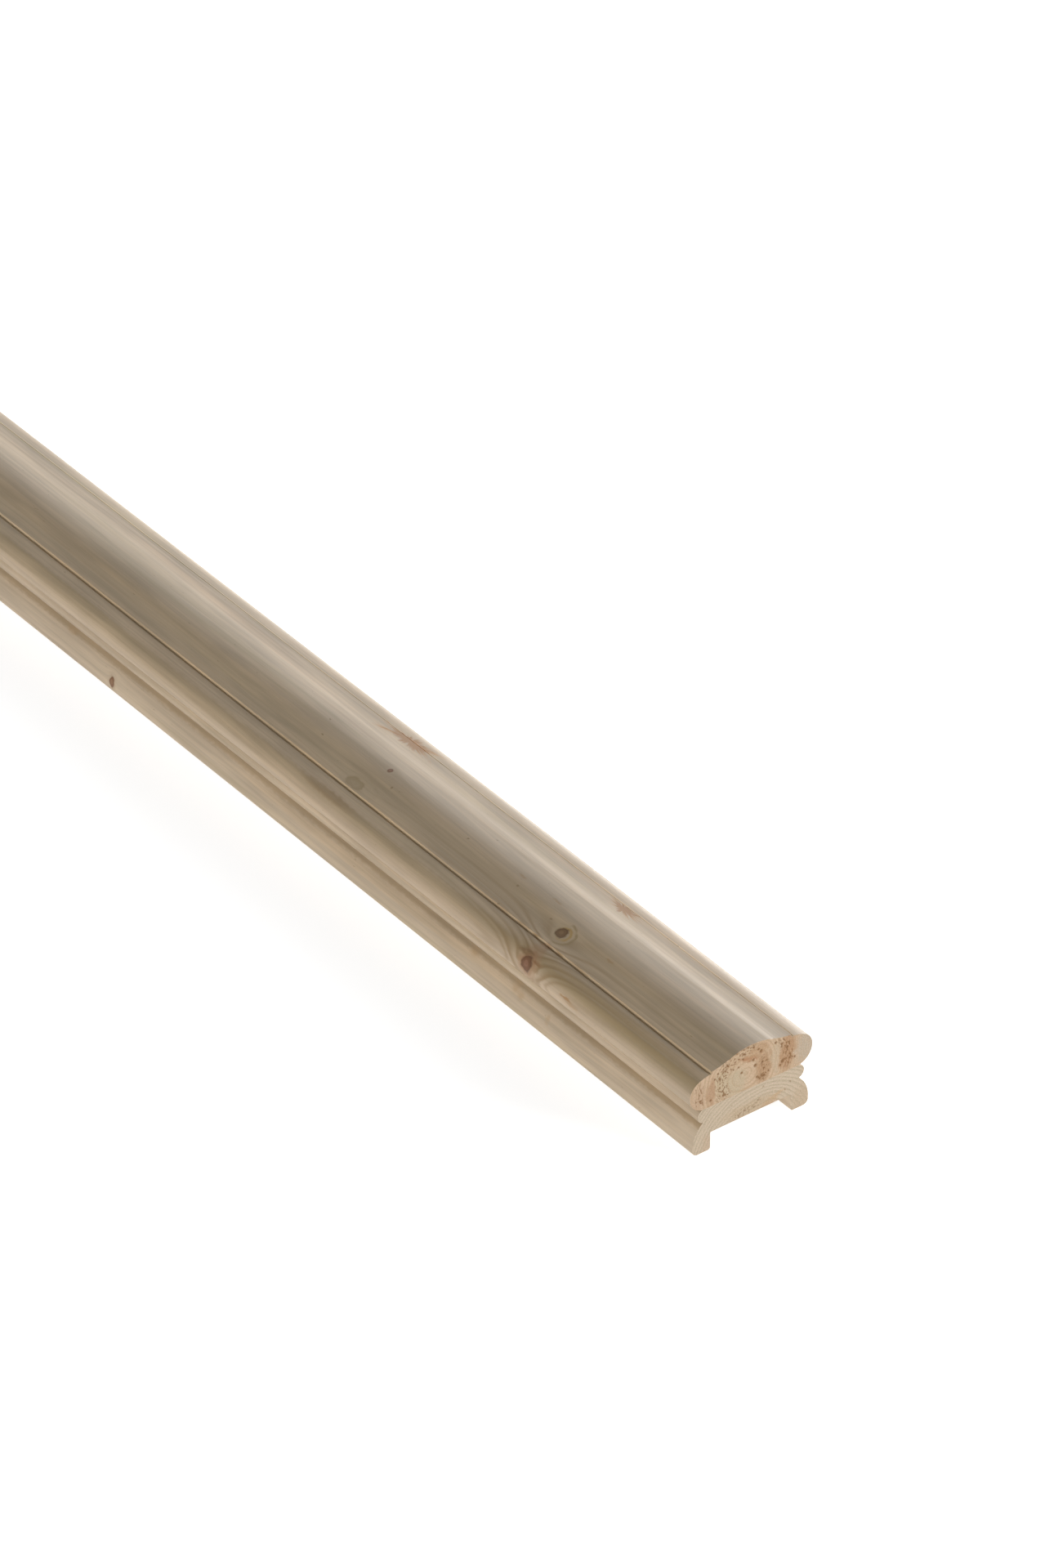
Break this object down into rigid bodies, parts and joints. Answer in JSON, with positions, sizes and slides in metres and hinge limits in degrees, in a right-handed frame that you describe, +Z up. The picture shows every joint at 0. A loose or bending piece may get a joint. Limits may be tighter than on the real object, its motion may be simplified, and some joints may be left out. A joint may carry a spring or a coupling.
{
  "type": "stair handrail",
  "caption": "Moulded softwood stair handrail, domed on top, with a groove below that seats square spindles.",
  "frame": {"origin": "middle of the surface that the two feet rest on, halfway along the rail", "axes": "+X across the rail, +Y along the rail, +Z up from the feet to the domed top"},
  "size_m": [0.062, 2.4, 0.0429],
  "materials": {
    "upper_pine": "planed pine, unfinished, with knots and reddish heartwood",
    "lower_pine": "planed pine, unfinished, paler and straight grained"
  },
  "bodies": {
    "root": {"upper_board": "upper_pine", "lower_board": "lower_pine"}
  },
  "joints": []
}
